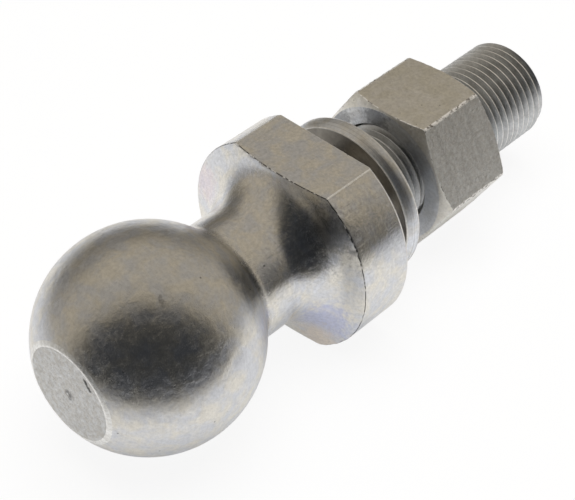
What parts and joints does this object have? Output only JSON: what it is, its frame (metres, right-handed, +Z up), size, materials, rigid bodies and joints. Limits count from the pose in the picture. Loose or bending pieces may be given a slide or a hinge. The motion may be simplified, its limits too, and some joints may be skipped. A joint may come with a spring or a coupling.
{
  "type": "hitch ball",
  "caption": "Bolt-on towing ball with a flat crown, waisted neck and flange with two wrench flats, its threaded shank carrying a loose lock washer and hex nut.",
  "frame": {"origin": "centre of the flange's flat seat, on the shank's axis, where the drawbar's face would bear", "axes": "+X along the shank from the seat to its threaded end, with the ball on -X; +Z up, square to the wrench flats, as the ball lies on a table; +Y completes a right-handed frame"},
  "size_m": [0.1475, 0.0526, 0.0508],
  "materials": {
    "turned_steel": "bare turned steel forging, satin, scuffed and lightly pitted",
    "spring_steel": "bare spring steel with drawn rim and worn bright edges",
    "nut_steel": "bare cold-drawn hexagon steel, satin, pitted, with turned bearing faces"
  },
  "bodies": {
    "ball_stud": {"ball_stud": "turned_steel"},
    "lock_washer": {"lock_washer": "spring_steel"},
    "hex_nut": {"hex_nut": "nut_steel"}
  },
  "joints": [
    {"name": "nut_travel", "type": "slide", "parent": "ball_stud", "child": "hex_nut", "axis": [1, 0, 0], "range_m": [-0.0175, 0.049]},
    {"name": "washer_slide", "type": "slide", "parent": "ball_stud", "child": "lock_washer", "axis": [1, 0, 0], "range_m": [-0.0077, 0.02156]}
  ],
  "couplings": [
    {"joint": "washer_slide", "follows": "nut_travel", "ratio": 0.44}
  ]
}
